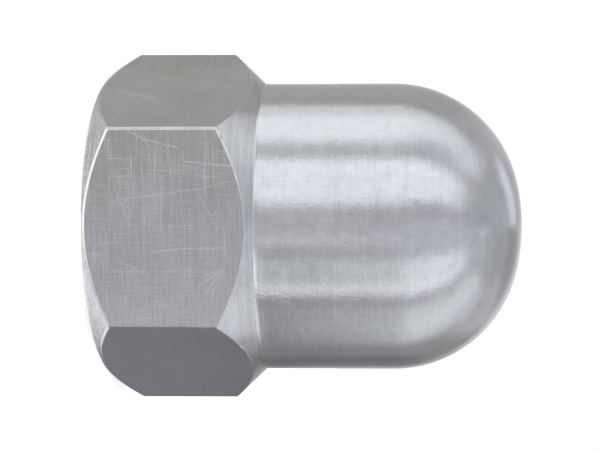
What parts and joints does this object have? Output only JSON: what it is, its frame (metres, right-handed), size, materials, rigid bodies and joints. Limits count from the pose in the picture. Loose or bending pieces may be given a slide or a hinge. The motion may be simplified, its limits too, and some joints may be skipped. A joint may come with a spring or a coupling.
{
  "type": "cap nut",
  "caption": "Tall domed cap nut: a chamfered hexagon with a round turned cap that closes off a blind threaded hole.",
  "frame": {"origin": "centre of the bearing face, at the open end of the thread", "axes": "+Z along the thread axis from the open bearing face up to the tip of the cap; two opposite corners of the hexagon on X, two flats square to Y"},
  "size_m": [0.022, 0.019, 0.0255],
  "materials": {
    "turned_metal": "bare stainless steel, fine turning lines on cap and chamfers, satin bar flats with light handling scratches"
  },
  "bodies": {
    "root": {"cap_nut": "turned_metal"}
  },
  "joints": []
}
